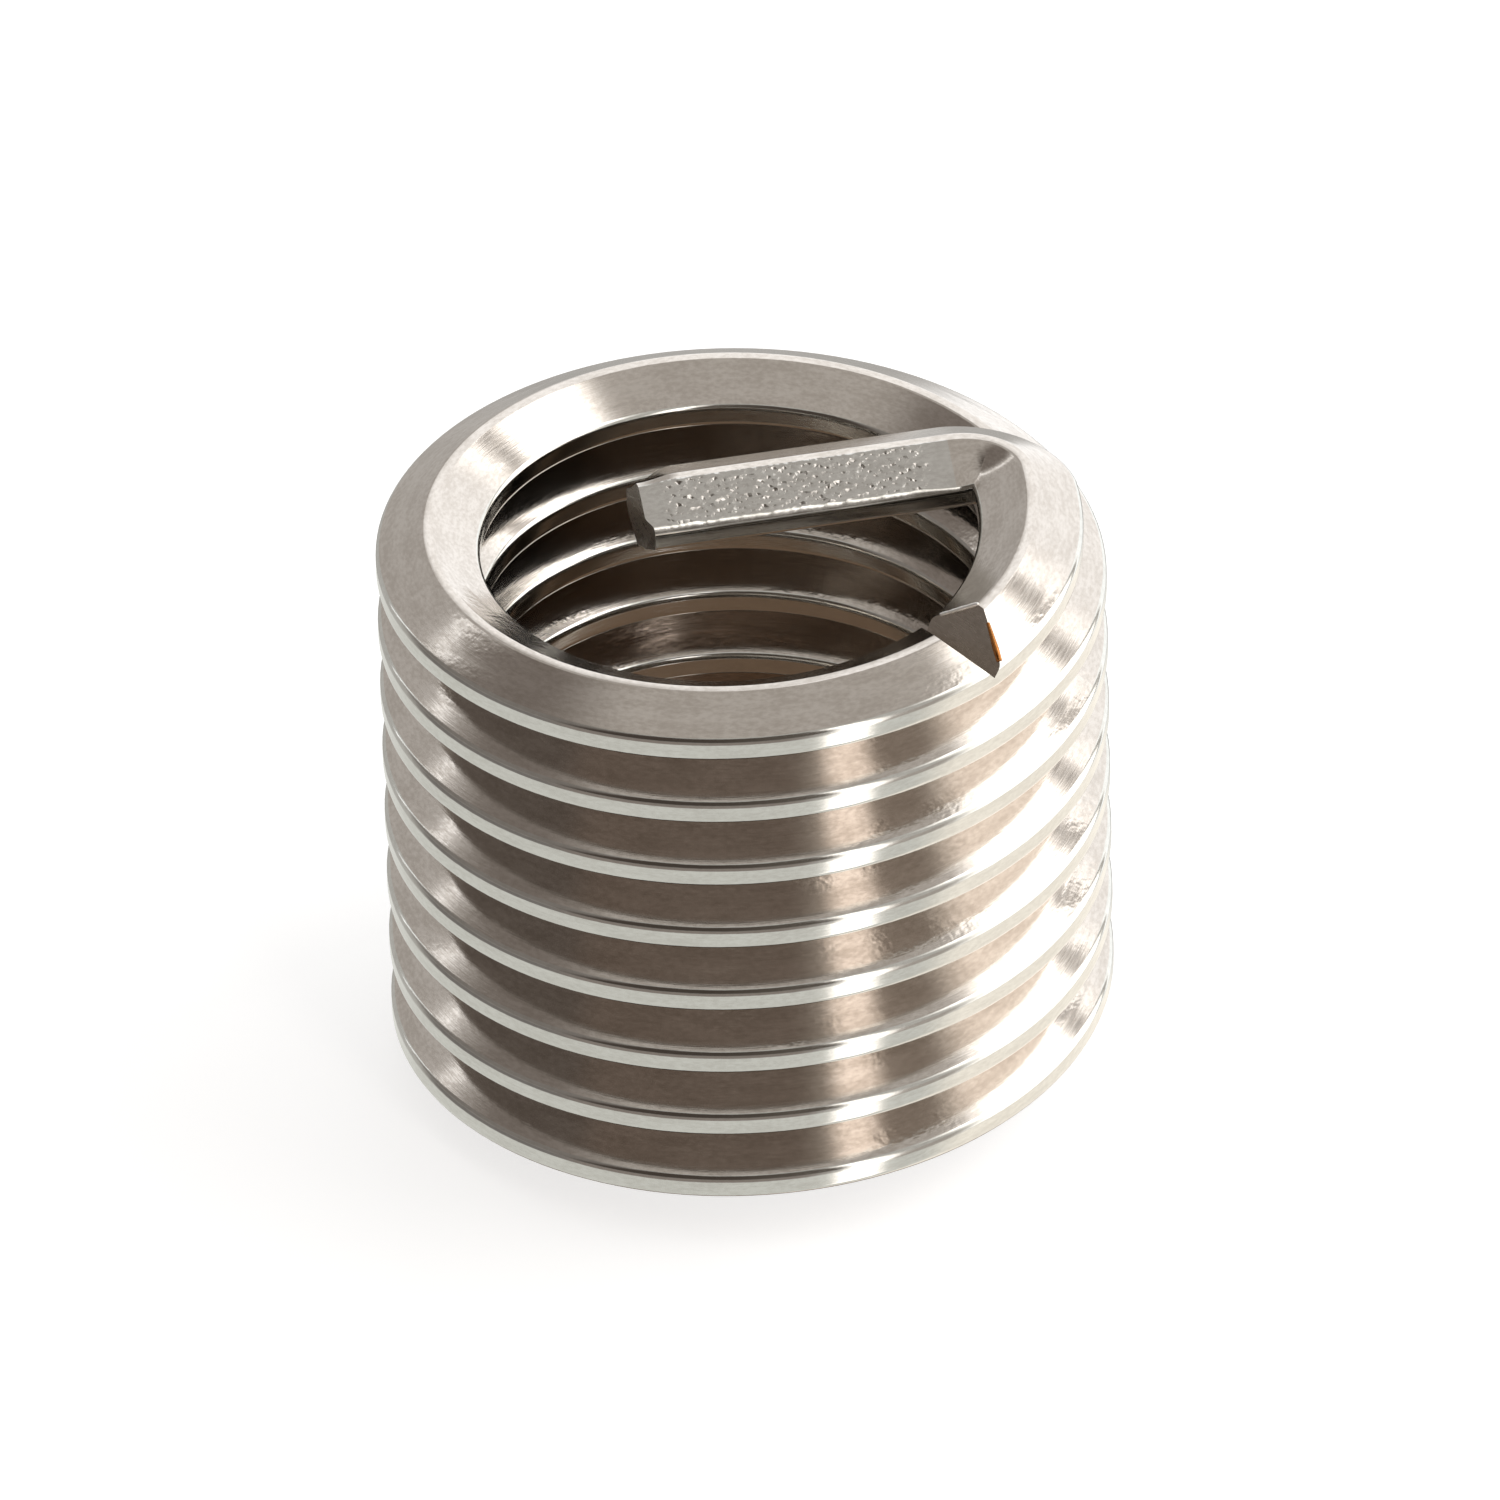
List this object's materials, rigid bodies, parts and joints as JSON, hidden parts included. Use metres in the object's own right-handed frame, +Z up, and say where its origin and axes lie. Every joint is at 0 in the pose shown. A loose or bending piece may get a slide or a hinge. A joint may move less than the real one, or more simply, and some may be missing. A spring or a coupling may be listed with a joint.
{
  "type": "wire thread insert",
  "caption": "Free-running wire thread insert: a right-hand coil of rolled rhombic stainless wire with a break notch and a driving tang.",
  "frame": {"origin": "on the coil's axis, in the plane of the lowest point of the coil's cut end", "axes": "+Z up the coil's axis from the cut end towards the tang; the screw enters and leaves along -Z, at the cut end, and the break notch lies between +X and -Y"},
  "size_m": [0.0124, 0.0125, 0.0115],
  "materials": {
    "stainless_wire": "cold-rolled stainless steel wire, smooth on the flanks, with fine rolling grain and a peened tang"
  },
  "bodies": {
    "root": {"wire_insert": "stainless_wire"}
  },
  "joints": []
}
